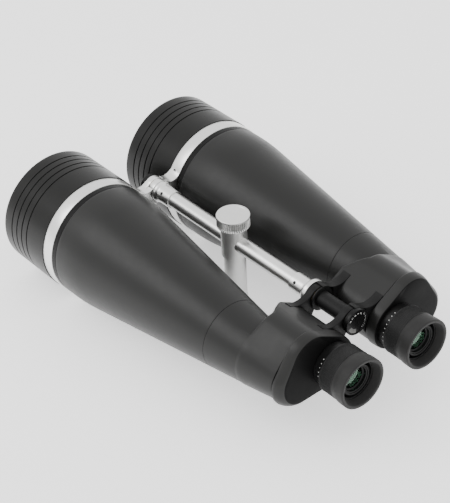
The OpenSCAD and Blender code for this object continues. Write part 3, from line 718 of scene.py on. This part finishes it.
def prism_housing(side, s):
    """End of the cone, and the prism box that grows out of it on the inner side."""
    turns = [2 * pi * i / HOUSING_TURNS for i in range(HOUSING_TURNS)]

    def cone(depth):
        return [circle_reach(LENS, HOUSING_MIDDLE, tube_radius(depth), t) for t in turns]

    def box(depth):
        outline = corner_outline((LENS + (tube_radius(depth),),) + BOX_CORNERS[1:])
        return [max(reach_of(outline, HOUSING_MIDDLE, t), c) for t, c in zip(turns, cone(depth))]

    def wall_depth(turn, reach):
        """Depth of the box's front wall, which slants back on the outer side."""
        x = HOUSING_MIDDLE[0] + reach * cos(turn)
        share = min(max((x - SLANT[0]) / (SLANT[1] - SLANT[0]), 0), 1)
        return BOX_FRONT + (SHOULDER_FRONT - BOX_FRONT) * share

    full = box(SHOULDER_FRONT)
    front = [wall_depth(t, r) for t, r in zip(turns, full)]
    outer = []
    seam = TUBE_BACK + 0.05
    for inset_by, depth in ((0.3, seam), (0.1, seam + 0.08), (0.0, seam + 0.3)):
        outer.append(radial_section(s, HOUSING_MIDDLE, [r - inset_by for r in cone(depth)], depth))
    for depth in (TUBE_BACK + 1, TUBE_BACK + 4, TUBE_BACK + 10, TUBE_BACK + 16, BOX_FRONT - 1.5):
        outer.append(radial_section(s, HOUSING_MIDDLE, cone(depth), depth))

    def wall_section(share, offset):
        """Section that follows the front wall, share of the way from the cone out to the box."""
        points = []
        for i, turn in enumerate(turns):
            depth = front[i] + offset
            c = circle_reach(LENS, HOUSING_MIDDLE, tube_radius(depth), turn)
            points.append((c + (full[i] - c) * share if full[i] > c else c, depth))
        return points

    wall = [wall_section(0.0, -0.3), wall_section(0.35, 0.0), wall_section(0.7, 0.0)]
    for k in range(EDGE_STEPS + 1):
        turn = pi / 2 * k / EDGE_STEPS
        wall.append(wall_section(1 - 0.2 * (1 - sin(turn)), EDGE_ROUND * (1 - cos(turn))))
    for section in wall:
        outer.append(uneven_section(s, HOUSING_MIDDLE, section))
    last = box(COVER_FRONT)
    for k in range(1, SIDE_STEPS + 1):
        along = k / SIDE_STEPS
        section = []
        for i, (reach, depth) in enumerate(wall[-1]):
            section.append((reach + (last[i] - reach) * along, depth + (COVER_FRONT - 0.6 - depth) * along))
        outer.append(uneven_section(s, HOUSING_MIDDLE, section))
    outer.append(radial_section(s, HOUSING_MIDDLE, [r - 0.5 for r in last], COVER_FRONT - 0.1))
    inner = []
    for depth in (COVER_FRONT - 0.1, SHOULDER_FRONT + BOX_WALL):
        inner.append(radial_section(s, HOUSING_MIDDLE, [r - BOX_WALL for r in last], depth))
    for depth in (SHOULDER_FRONT + BOX_WALL - 0.5, TUBE_BACK):
        inner.append(radial_section(s, HOUSING_MIDDLE, [r - 2 * WALL for r in cone(depth)], depth))
    obj = loft(f"{side}_prism_housing_fine", outer + inner, paint)
    piece(obj, f"{side}_barrel", "barrel_paint", f"{side}_prism_housing")


def back_cover(side, s):
    """Cover of the prism box. Its flat rear face round the eyepiece takes a darker, duller copy of the paint
    as painted shade.
    """
    turns = [2 * pi * i / HOUSING_TURNS for i in range(HOUSING_TURNS)]

    def reaches(corners, grow):
        outline = corner_outline(corners, grow)
        return [reach_of(outline, COVER_MIDDLE, t) for t in turns]

    full, flat = reaches(COVER_CORNERS, 0), reaches(PLATE_CORNERS, 0)
    sections = [([r - 1.0 for r in full], COVER_FRONT + 0.1), ([r - 0.9 for r in full], COVER_FRONT + 0.6),
                ([r - 0.25 for r in full], COVER_FRONT + 0.8), (full, COVER_FRONT + 1.2),
                (full, COVER_FRONT + 1.7), (full, COVER_FRONT + 2.6)]
    # the edge rounds over from the skirt to the flat rear face: (share of the way in, depth)
    rounding = ((0.005, 3.4), (0.03, 4.0), (0.07, 4.9), (0.13, 6.0), (0.21, 7.2), (0.31, 8.4), (0.43, 9.4),
                (0.57, 10.2), (0.72, 10.8), (0.86, 11.15), (1.0, 11.3))
    for share, past in rounding:
        sections.append(([a * (1 - share) + b * share for a, b in zip(full, flat)], COVER_FRONT + past))
    outer = [radial_section(s, COVER_MIDDLE, r, d) for r, d in sections]
    hole = [circle_reach(EYE, EYE, COVER_HOLE_R, t) for t in turns]
    hole_section = radial_section(s, EYE, hole, COVER_BACK)
    hole_front = radial_section(s, EYE, hole, COVER_BACK - BOX_WALL)
    inner = [radial_section(s, COVER_MIDDLE, [r - BOX_WALL for r in reaches(BOX_CORNERS, 0)], d)
             for d in (COVER_BACK - BOX_WALL, COVER_FRONT + 0.1)]
    obj = loft(f"{side}_back_cover_fine", outer + [hole_section, hole_front] + inner, paint)
    # faces behind the start of the flat take the darker copy of the paint: painted shade on the rear face
    obj.data.materials.append(rear_face_shade_black)
    flat_y = row(0, 0, COVER_FRONT + FLAT_START).y
    for face in obj.data.polygons:
        face.material_index = int(face.center.y < flat_y)
    piece(obj, f"{side}_barrel", "barrel_paint", f"{side}_back_cover")


# ---------- hinge arms ----------


def lip(start, end, start_r, end_r, steps=14):
    """Spiral that carries an arm over the hinge, between two angles and radii."""
    out = []
    for i in range(steps + 1):
        t = i / steps
        turn, r = radians(start + (end - start) * t), start_r + (end_r - start_r) * t
        out.append((HINGE[0] + r * cos(turn), HINGE[1] + r * sin(turn)))
    return out


def hinge_arm(side, s, which):
    """Arm from the prism box to the rear hinge. The right one has a separate knuckle."""
    front, back = depths(f"{side}_{which}_arm")
    touch_r, fillet = (12.25, (21.3, 45.9)) if s < 0 else (12.75, (21.5, 46.2))
    lip_end, lip_r = (100, REAR_HUB_R) if s < 0 else (82, 12.4)
    hollow = circle(fillet, dist(fillet, HINGE) - touch_r, angle_to(fillet, HINGE), -58, 30)
    wrap = lip(lip_end, angle_to(HINGE, fillet), lip_r, touch_r)[:-1]
    root = [(33.8, 29.9), (34.7, 28.4), (38, 24), (30, -1), (14, -1), (9.6, 6.4)]
    lower = (6.61, 11.81)
    leaves = angle_to(HINGE, lower)
    hub_arc = circle(HINGE, REAR_HUB_R, leaves + 360, lip_end + 1, 80)
    pin = circle(HINGE, 6.05, count=64)
    if s < 0:
        strap = [hub_arc + wrap + hollow + root, pin]
    else:
        strap = [circle(HINGE, REAR_HUB_R + HUB_GAP, leaves - 0.3, lip_end, 60) + wrap + hollow + root]
        near = [p for p in hollow if dist(p, HINGE) < 15]
        stub = [(p[0], p[1] - 0.05) for p in wrap + near] + [(14, 14), (9, 11)]
        knuckle = plate(f"{side}_{which}_knuckle", [mirrored(hub_arc + stub, s), mirrored(pin, s)],
                        back - 1.9, back, 0.4, black_hinge)
        piece(knuckle, f"{side}_barrel", "hinge_black")
    loops = [mirrored(loop, s) for loop in strap]
    obj = plate(f"{side}_{which}_arm_fine", loops, front, back, 0.5, black_hinge)
    piece(obj, f"{side}_barrel", "hinge_black", f"{side}_{which}_arm")


# ---------- eyepiece ----------


def eyepiece_base(side, s):
    front = depths(f"{side}_eyepiece_base")[0]
    profile = [(BASE_BORE_R, front), (STEM_R, front), (STEM_R, COVER_BACK, 0.02), (BASE_R, COVER_BACK, 0.5),
               (BASE_R, BASE_BACK, 0.4), (BASE_BORE_R, BASE_BACK)]
    turned(f"{side}_eyepiece_base", soften(profile, 0.2), (s * EYE_X, EYE_UP), black_eyepiece,
           f"{side}_barrel", "eyepiece_black")


def diopter_dots(side, s):
    """White dots round the eyepiece base, raised a little from it."""
    bm = bmesh.new()
    depth = (COVER_BACK + FOCUS_FRONT) / 2 + 1.6
    first, count = DIOPTER_DOTS[s]
    around_dot = [2 * pi * i / DOT_FACETS for i in range(DOT_FACETS)]
    for k in range(count):
        turn = radians(first - DOT_PITCH * k)
        radial = Vector((cos(turn), 0, sin(turn)))
        around = Vector((-sin(turn), 0, cos(turn)))
        top = row(s * EYE_X, EYE_UP, depth) + radial * (BASE_R + 0.08) * MM
        low = row(s * EYE_X, EYE_UP, depth) + radial * (BASE_R - 0.1) * MM
        rim = []
        for level in (low, top):
            offsets = [around * cos(a) + Vector((0, sin(a), 0)) for a in around_dot]
            rim.append([bm.verts.new(level + offset * DOT_R * MM) for offset in offsets])
        skin(bm, rim, False)
        bm.faces.new(rim[1])
        bm.faces.new(rim[0][::-1])
    dots = add_object(f"{side}_diopter_dots", bm, white)
    piece(dots, f"{side}_barrel", "dial_black")


def focus_ring(side, s):
    front, back = depths(f"{side}_focus_ring")
    knurl_front, knurl_back = FOCUS_FRONT + 1.2, CUP_FRONT - 1.0

    def knurl(radius, depth, turn):
        if radius < FOCUS_R - 0.02 or not knurl_front < depth < knurl_back:
            return radius
        u = turn * KNURL_COUNT / (2 * pi)
        v = (depth - knurl_front) / KNURL_PITCH
        ridge = min(abs((u + v) % 1 - 0.5), abs((u - v) % 1 - 0.5)) * 2
        return radius - KNURL_HEIGHT * (1 - ridge)

    rows = int((knurl_back - knurl_front) / KNURL_PITCH * 4)
    stations = [(FOCUS_R, knurl_front + (knurl_back - knurl_front) * i / rows) for i in range(rows + 1)]
    outside = [(BASE_R + 0.5, front, 0.2), (FOCUS_R - 0.1, front, 0.5), (FOCUS_R - 0.1, knurl_front, 0.1)]
    web_front, web_back = 369.4, HEAD_FRONT - 0.3
    behind = [(FOCUS_R - 0.1, knurl_back, 0.1), (FOCUS_R - 0.1, CUP_FRONT - 0.1, 0.3),
              (CUP_SEAT_R, CUP_FRONT - 0.1, 0.02), (CUP_SEAT_R, back, 0.1), (WELL_R, back, 0.3),
              (WELL_R, web_back), (BASE_BORE_R, web_back), (BASE_BORE_R, web_front),
              (BASE_R + 0.5, web_front)]
    profile = soften(outside, 0.1, closed=False) + stations + soften(behind, 0.1, closed=False)
    turned(f"{side}_focus_ring", profile, (s * EYE_X, EYE_UP), black_knurl,
           f"{side}_focus_ring", "knurled_black", segments=KNURL_COUNT * 4, shape=knurl)


def eyecup(side, s):
    seat = depths(f"{side}_focus_ring")[1]
    profile = [(CUP_SEAT_R + SEAT_GAP, CUP_FRONT, 0.05), (CUP_R - 0.9, CUP_FRONT, 0.4),
               (CUP_R - 0.85, CUP_FRONT + 2, 1),
               (CUP_R - 0.15, seat - 0.5, 2.5), (CUP_R, seat + 3, 1), (CUP_R, CUP_BACK, 1.7),
               (CUP_R - 3.0, CUP_BACK, 1.1), (CUP_R - 4.4, CUP_BACK - 4, 2.5), (18.3, seat + 1, 0.4),
               (18.3, seat + 0.05), (CUP_SEAT_R + SEAT_GAP, seat + 0.05)]
    turned(f"{side}_eyecup", soften(profile, 0.3, steps=7), (s * EYE_X, EYE_UP), rubber,
           f"{side}_focus_ring", "eyecup_rubber")


def eyepiece_tube(side, s):
    front, back = depths(f"{side}_eyepiece_tube")
    glass_back = depths(f"{side}_eye_lens")[1]
    head = half_width(f"{side}_eyepiece_tube")
    profile = [(SLIDE_BORE_R, front), (SLIDE_R, front, 0.2), (SLIDE_R, HEAD_FRONT), (head, HEAD_FRONT, 0.3),
               (head, back, 0.7), (head - 2, back, 0.4), (head - 2.2, back - 1.0, 0.2),
               (SLIDE_BORE_R + 1.4, back - 1.2, 0.2), (SLIDE_BORE_R + 1.3, glass_back - 0.4, 0.2),
               (SLIDE_BORE_R, glass_back - 0.9, 0.1)]
    turned(f"{side}_eyepiece_tube", soften(profile, 0.2), (s * EYE_X, EYE_UP), black_eyepiece,
           f"{side}_eyepiece", "eyepiece_black")


def eye_lens(side, s):
    front, back = depths(f"{side}_eye_lens")
    reach = half_width(f"{side}_eye_lens")
    profile = lens_face(front, EYE_CURVES[0], reach) + lens_face(back, EYE_CURVES[1], reach)[::-1]
    turned(f"{side}_eye_lens", profile, (s * EYE_X, EYE_UP), eye_glass,
           f"{side}_eyepiece", "coated_glass", segments=96, closed=False)


# ---------- centre ----------


def rod():
    profile = [(0, ROD_FRONT), (5, ROD_FRONT, 0.4), (5, RING_BACK + 0.8, 0.1), (ROD_R, RING_BACK + 0.8, 0.3),
               (ROD_R, ROD_BACK, 0.3), (0, ROD_BACK)]
    turned("rod", soften(profile, 0.3, closed=False), HINGE, aluminium,
           "centre", "bright_aluminium", segments=96, closed=False)


def front_cap():
    front, back = depths("front_cap")
    r = half_width("front_cap")
    profile = [(0, front), (r - 1.2, front, 0.5), (r, front + 1.2, 0.6), (r, back, 0.3), (3, back),
               (3, back - 3), (0, back - 3)]
    turned("front_cap", soften(profile, 0.2, closed=False), HINGE, black_hinge,
           "centre", "hinge_black", segments=96, closed=False)


def sleeves():
    front, back = depths("front_sleeve")
    profile = [(ROD_R + 0.02, front), (FRONT_HUB_R, front, 0.4), (FRONT_HUB_R, front + 2.4, 1.2),
               (SLEEVE_R, front + 4.4, 1.6), (SLEEVE_R, back, 0.6), (ROD_R + 0.02, back)]
    turned("front_sleeve", soften(profile, 0.2, steps=6), HINGE, aluminium,
           "centre", "bright_aluminium", segments=96)
    front, back = depths("rear_sleeve")
    flange = half_width("rear_sleeve")
    shaft_hole = HINGE_PIN_R + SEAT_GAP
    profile = [(ROD_R + 0.02, front), (SLEEVE_R, front, 0.6), (SLEEVE_R, back - 8.2, 2),
               (flange - 3, back - 6.2, 2), (flange - 1.5, back - 5, 1.2), (flange, back - 4.1, 0.7),
               (flange, back, 0.7), (shaft_hole, back), (shaft_hole, ROD_BACK), (ROD_R + 0.02, ROD_BACK)]
    turned("rear_sleeve", soften(profile, 0.2, steps=6), HINGE, aluminium,
           "centre", "bright_aluminium", segments=96)


def set_screws(name, body, centre, surface, turn, places, *nodes):
    """Heads of hex socket set screws, level with a round surface."""
    bm = bmesh.new()
    radial = Vector((cos(turn), 0, sin(turn)))
    around = Vector((-sin(turn), 0, cos(turn)))
    rings = ((0, SCREW_R, -0.4), (0, SCREW_R, 0.02), (0, SCREW_R - 0.15, 0.1), (0, 1.0, 0.1), (1, 0.8, 0.1),
             (1, 0.75, 0.03))
    for depth in places:
        middle = row(centre[0], centre[1], depth)
        loops = []
        for hexagon, r, rise in rings:
            loop = []
            for i in range(36):
                a = 2 * pi * i / 36
                reach = r / cos((a + pi / 6) % (pi / 3) - pi / 6) if hexagon else r
                flat = around * cos(a) * reach + Vector((0, sin(a) * reach, 0))
                loop.append(bm.verts.new(middle + (flat + radial * (surface + rise)) * MM))
            loops.append(loop)
        skin(bm, loops, False)
        bm.faces.new(loops[-1])
        bm.faces.new(loops[0][::-1])
    piece(add_object(name, bm, screw_black), body, "dark_screw", *nodes)


def hinge_shaft():
    front, back = depths("hinge_shaft")
    shaft_front = depths("right_front_arm")[1] + 0.3
    shaft_back = depths("left_rear_arm")[0] - 0.3
    profile = [(0, front), (HINGE_PIN_R, front), (HINGE_PIN_R, shaft_front), (SHAFT_R, shaft_front, 0.6),
               (SHAFT_R, shaft_back, 0.6), (HINGE_PIN_R, shaft_back), (HINGE_PIN_R, back), (0, back)]
    turned("hinge_shaft", soften(profile, 0.2, closed=False), HINGE, black_hinge,
           "centre", "hinge_black", segments=96, closed=False)


def ipd_dial():
    face = DIAL_BACK - 0.6
    profile = [(0, DIAL_FRONT), (DIAL_R, DIAL_FRONT, 0.7), (DIAL_R, DIAL_BACK, 0.9),
               (DIAL_R - 1.6, DIAL_BACK, 0.4), (DIAL_R - 1.7, face, 0.3), (0, face)]
    turned("ipd_dial", soften(profile, 0.2, closed=False), HINGE, black_dial,
           "centre", "dial_black", segments=128, closed=False)
    bm = bmesh.new()
    thick = 0.06
    for k in range(TICK_COUNT):
        turn = radians(TICK_FIRST - k * TICK_STEP)
        add_bar(bm, turn, DIAL_R - (3.9 if k % 4 == 0 else 3.2), DIAL_R - 2.3, 0.1, face, thick)
    ticks = add_object("dial_ticks", bm, white)
    piece(ticks, "centre", "dial_black")
    for k, number in enumerate(EYE_SPACINGS):
        dial_number(str(number), radians(NUMBER_FIRST - k * NUMBER_STEP), face + thick)
    inner = circle(HINGE, DIAL_R - 6.0, BAND_TO, BAND_FROM, 24)
    outer = circle(HINGE, DIAL_R - 2.1, BAND_FROM, BAND_TO, 24)
    band = plate("dial_index_band", [outer + inner], face - 0.05, face + 0.07, 0.03, grey_print)
    piece(band, "centre", "dial_black")


def add_bar(bm, turn, inner, outer, half, depth, thick):
    """Small flat bar on the dial, lying along a radius."""
    radial = Vector((cos(turn), sin(turn)))
    around = Vector((-radial.y, radial.x))
    loops = []
    for level in (depth - thick, depth + thick):
        corners = [radial * inner - around * half, radial * outer - around * half,
                   radial * outer + around * half, radial * inner + around * half]
        loops.append([bm.verts.new(row(HINGE[0] + c.x, HINGE[1] + c.y, level)) for c in corners])
    skin(bm, loops, False)
    bm.faces.new(loops[0])
    bm.faces.new(loops[1][::-1])


def dial_number(text, turn, depth):
    """Number of the eye-spacing scale, read from behind the dial."""
    curve = bpy.data.curves.new("number", "FONT")
    curve.body = text
    curve.size = NUMBER_SIZE * MM
    curve.align_x = "CENTER"
    curve.align_y = "CENTER"
    curve.extrude = 0.04 * MM
    temporary = in_scene("number", curve)
    bpy.context.view_layer.update()
    mesh = bpy.data.meshes.new_from_object(temporary.evaluated_get(bpy.context.evaluated_depsgraph_get()))
    bpy.data.objects.remove(temporary)
    radius = DIAL_R - NUMBER_IN
    place = row(HINGE[0] + radius * cos(turn), HINGE[1] + radius * sin(turn), depth)
    upright = Matrix.Rotation(radians(90), 4, "X")
    spin = Matrix.Rotation(-(turn - pi / 2), 4, "Y")
    mesh.transform(Matrix.Translation(place) @ spin @ upright)
    mesh.materials.clear()
    mesh.materials.append(white)
    piece(in_scene(f"dial_number_{text}", mesh), "centre", "dial_black")


def clamp_knob():
    low, high = box_mm("clamp_knob")
    bottom, top = low.z, high.z

    def post_point(x, y, height):
        return Vector((x, y, height)) * MM

    def flute(radius, height, turn):
        if radius < KNOB_R - 1.2:
            return radius
        room = min(height - bottom - KNOB_RIM, top - KNOB_RIM - height)
        if room <= 0:
            return radius
        depth = FLUTE_CUT * min(room / 0.4, 1)
        return radius - depth * (0.5 - 0.5 * cos(turn * FLUTE_COUNT)) ** 0.7

    profile = [(0, bottom), (KNOB_R - 0.1, bottom, 0.6), (KNOB_R, bottom + KNOB_RIM, 0.3)]
    heights = [bottom + KNOB_RIM + (top - bottom - 2 * KNOB_RIM) * i / 16 for i in range(1, 16)]
    upper = [(KNOB_R, top - KNOB_RIM, 0.3), (KNOB_R - 0.1, top, 0.7), (KNOB_R - 2.4, top, 0.3),
             (KNOB_R - 2.7, top - 0.35, 0.3), (0, top - 0.35)]
    points = soften(profile, 0.2, closed=False)[:-1] + [(KNOB_R - 0.15, h) for h in heights]
    points += soften([(KNOB_R - 0.15, top - KNOB_RIM - 0.2)] + upper, 0.2, closed=False)[1:]
    obj = revolve("clamp_knob_fine", points, post_point, aluminium_turned, FLUTE_COUNT * 8, False, flute)
    piece(obj, "clamp_knob", "bright_aluminium", "clamp_knob")


# ---------- the rest of the CAD nodes: better materials ----------


def repaint():
    """Gives the CAD nodes that stay in view their own materials."""
    looks = {"lens_cell": black_inside, "lens_ring": black_inside, "flint_lens": green_glass,
             "prism_shelf": cast, "front_prism": prism_glass, "rear_prism": prism_glass, "prism_clips": steel,
             "field_lens": field_glass}
    plain = {"thrust_washers": brass, "tripod_post": aluminium_post,
             "thread_insert": steel, "pressure_pad": nylon, "clamp_screw": steel}
    for side, _ in SIDES:
        plain.update({f"{side}_{name}": material for name, material in looks.items()})
    for name, material in plain.items():
        mesh = frame["nodes"][name].data
        mesh.materials.clear()
        mesh.materials.append(material)


for side, s in SIDES:
    for build in (dew_shield, lock_ring, objective_tube, crown_lens, front_ring, prism_housing, back_cover):
        build(side, s)
    for which in ("front", "rear"):
        hinge_arm(side, s, which)
    for build in (eyepiece_base, diopter_dots, focus_ring, eyecup, eyepiece_tube, eye_lens):
        build(side, s)
rod()
front_cap()
sleeves()
set_screws("sleeve_screws_fine", "centre", HINGE, SLEEVE_R, radians(SLEEVE_SCREW_TURN), SLEEVE_SCREWS,
           "sleeve_set_screws")
for side, s in SIDES:
    # the screw stands on the fillet that leads from the ring to its arm
    turn = radians(RING_SCREW_TURN)
    fillet = tangent_circle(HINGE, FRONT_HUB_R, LENS, RING_R, UPPER_FILLET, True)
    surface = circle_reach(fillet, LENS, UPPER_FILLET, turn, far=False)
    set_screws(f"{side}_ring_screw_fine", f"{side}_barrel", (s * LENS_X, 0), surface,
               turn if s > 0 else pi - turn, (RING_SCREW_DEPTH,), f"{side}_ring_screw")
hinge_shaft()
ipd_dial()
clamp_knob()
repaint()

# ---------- floor, lights and camera ----------

# metres, watts and degrees
FLOOR_HALF, FLOOR_DROP = 4.0, 0.0005
WORLD_STRENGTH = 1.55
KEY_PLACE, KEY_TARGET, KEY_SIZE, KEY_POWER = (-1.01, 0.67, 1.25), (0, 0, 0.05), (0.9, 0.9), 9
CAMERA_AZIMUTH, CAMERA_ELEVATION, CAMERA_ROLL = 38.17, 36.58, -2.93
CAMERA_DISTANCE, CAMERA_LENS, SENSOR_WIDTH = 1.4985, 120.29, 36
CAMERA_TARGET = (-0.02357, -0.01568, 0.08614)


def floor():
    """Plain pale floor just under the object."""
    bm = bmesh.new()
    corners = ((-FLOOR_HALF, -FLOOR_HALF), (FLOOR_HALF, -FLOOR_HALF), (FLOOR_HALF, FLOOR_HALF),
               (-FLOOR_HALF, FLOOR_HALF))
    bm.faces.new([bm.verts.new((x, y, cad_low.z - FLOOR_DROP)) for x, y in corners])
    s = Shader("pale_floor", (0.86, 0.86, 0.86), 0.6, Emission_Color=(1, 1, 1, 1), Emission_Strength=0.9)
    s.tone(s.noise(300, 2), 0.01)
    obj = add_object("floor", bm, s.material)


def softbox(name, place, target, size, power):
    light = bpy.data.lights.new(name, "AREA")
    light.shape = "RECTANGLE"
    light.size, light.size_y = size
    light.energy = power
    obj = in_scene(name, light)
    obj.location = place
    obj.rotation_euler = (Vector(target) - Vector(place)).to_track_quat("-Z", "Y").to_euler()


def world(strength):
    w = bpy.data.worlds.new("studio")
    w.use_nodes = True
    set_inputs(w.node_tree.nodes["Background"], Color=(1, 1, 1, 1), Strength=strength)
    bpy.context.scene.world = w


def camera():
    """Behind and to the left of the eyepieces, looking down on the binoculars."""
    azimuth, elevation = radians(CAMERA_AZIMUTH), radians(CAMERA_ELEVATION)
    roll = radians(CAMERA_ROLL)
    target = Vector(CAMERA_TARGET)
    aim = Vector((sin(azimuth) * cos(elevation), cos(azimuth) * cos(elevation),
                  -sin(elevation)))
    level = Vector((cos(azimuth), -sin(azimuth), 0))
    upright = level.cross(aim)
    right = cos(roll) * level + sin(roll) * upright
    up = -sin(roll) * level + cos(roll) * upright
    data = bpy.data.cameras.new("camera")
    data.sensor_fit = "AUTO"
    data.sensor_width = SENSOR_WIDTH
    data.lens = CAMERA_LENS
    obj = in_scene("camera", data)
    turn = Matrix((right, up, -aim)).transposed().to_4x4()
    obj.matrix_world = Matrix.Translation(target - aim * CAMERA_DISTANCE) @ turn
    bpy.context.scene.camera = obj


floor()
world(WORLD_STRENGTH)
softbox("key", KEY_PLACE, KEY_TARGET, KEY_SIZE, KEY_POWER)
camera()
